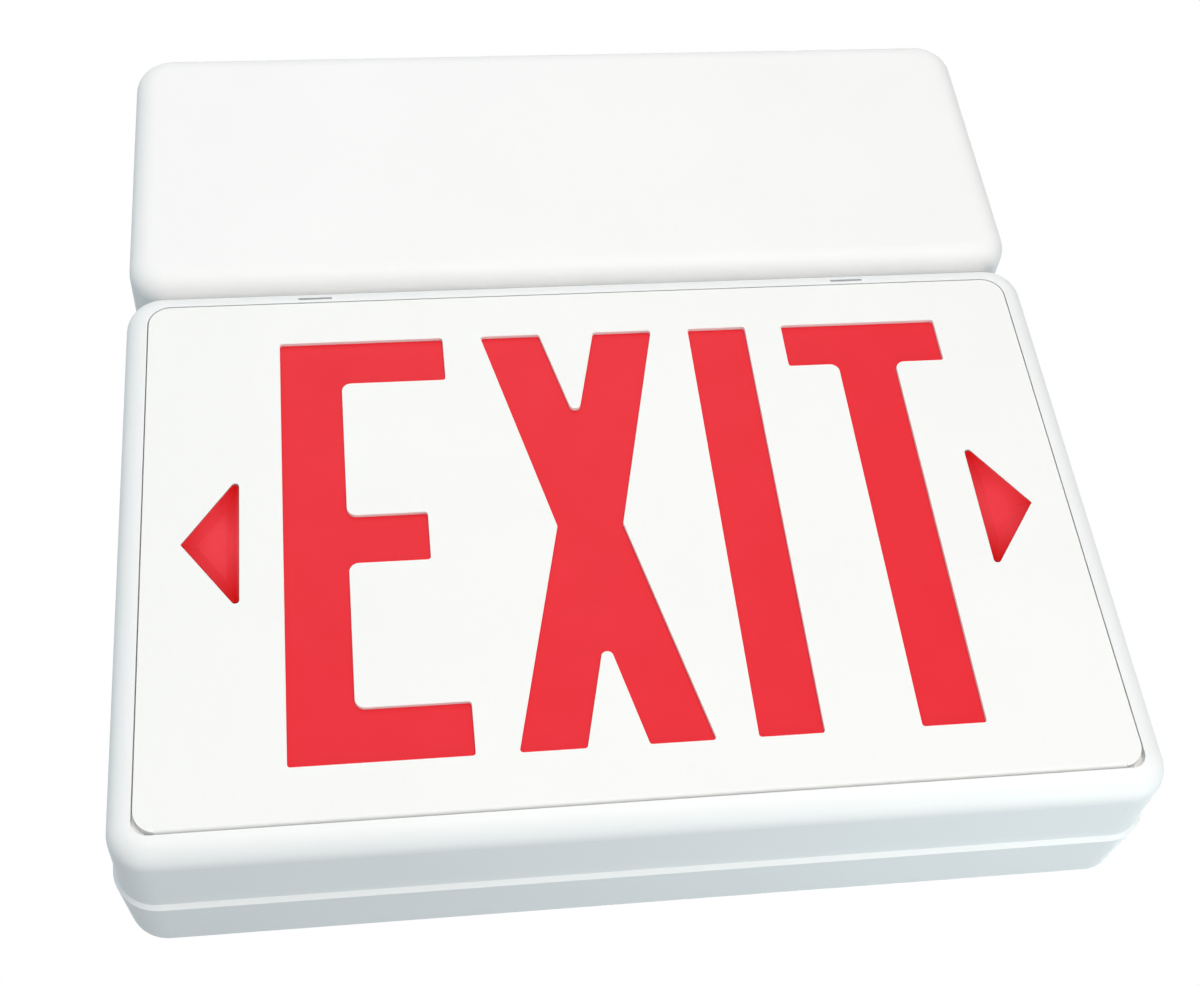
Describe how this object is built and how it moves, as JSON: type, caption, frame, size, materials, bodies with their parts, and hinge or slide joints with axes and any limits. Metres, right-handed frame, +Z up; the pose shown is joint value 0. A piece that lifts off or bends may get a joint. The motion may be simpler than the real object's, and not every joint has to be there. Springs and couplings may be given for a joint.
{
  "type": "emergency exit light",
  "caption": "Emergency exit sign: white moulded housing with red stencil letters and chevrons, hinged stencil panel, and a battery housing with test button on top.",
  "frame": {"origin": "centre of the cable entry in the sign's back wall, in the plane of the wall it is fixed to", "axes": "+X to the right as the sign is read, +Z up, +Y into the wall, so the face looks along -Y"},
  "size_m": [0.3078, 0.058, 0.3174],
  "materials": {
    "housing_white": "satin moulded thermoplastic",
    "lens_red": "smooth translucent",
    "reflector_white": "glossy white",
    "steel_pan": "white powder coat on folded steel",
    "zinc_steel": "zinc plated",
    "circuit_board": "green solder mask",
    "led_red": "clear red epoxy",
    "battery_sleeve": "shrink sleeve",
    "core_steel": "varnished laminations",
    "coil_tape": "yellow winding tape",
    "dark_plastic": "moulded, dark",
    "green_plastic": "moulded, green",
    "button_red": "moulded, red",
    "brass_parts": "turned and pressed",
    "plain_aluminium": "plain",
    "fuse_glass": "clear",
    "bright_ring": "bright plated"
  },
  "bodies": {
    "housing": {"front_housing": "housing_white", "back_housing": "housing_white", "housing_screws": "zinc_steel", "reflector": "reflector_white", "upper_led_board": "circuit_board", "lower_led_board": "circuit_board", "upper_leds": "led_red", "lower_leds": "led_red", "battery_cover": "housing_white", "back_pan": "steel_pan", "cover_screws": "zinc_steel", "joining_nipples": "zinc_steel", "spacer_washers": "zinc_steel", "locknuts": "zinc_steel", "battery_pack": "battery_sleeve", "battery_strap": "zinc_steel", "transformer_core": "core_steel", "transformer_coil": "coil_tape", "transformer_frame": "zinc_steel", "strap_screws": "zinc_steel", "charger_board": "circuit_board", "board_standoffs": "brass_parts", "board_screws": "zinc_steel", "relay": "dark_plastic", "capacitors": "dark_plastic", "heat_sink": "plain_aluminium", "fuse": "fuse_glass", "fuse_clips": "brass_parts", "terminal_block": "green_plastic", "test_switch": "dark_plastic", "button_spring": "zinc_steel", "charge_lamp": "led_red", "lamp_bezel": "bright_ring"},
    "panel": {"face_panel": "housing_white", "letter_lens": "lens_red", "left_arrow_lens": "lens_red", "right_arrow_lens": "lens_red"},
    "button": {"test_button": "button_red"}
  },
  "joints": [
    {"name": "panel_hinge", "type": "hinge", "parent": "housing", "child": "panel", "pos_m": [0, -0.0568, -0.09195], "axis": [1, 0, 0], "range_deg": [0, 70]},
    {"name": "button_press", "type": "slide", "parent": "housing", "child": "button", "axis": [-1, 0, 0], "range_m": [0, 0.0018], "stiffness_N_per_m": 350, "springref_m": -0.002, "deforming": ["button_spring"]}
  ]
}
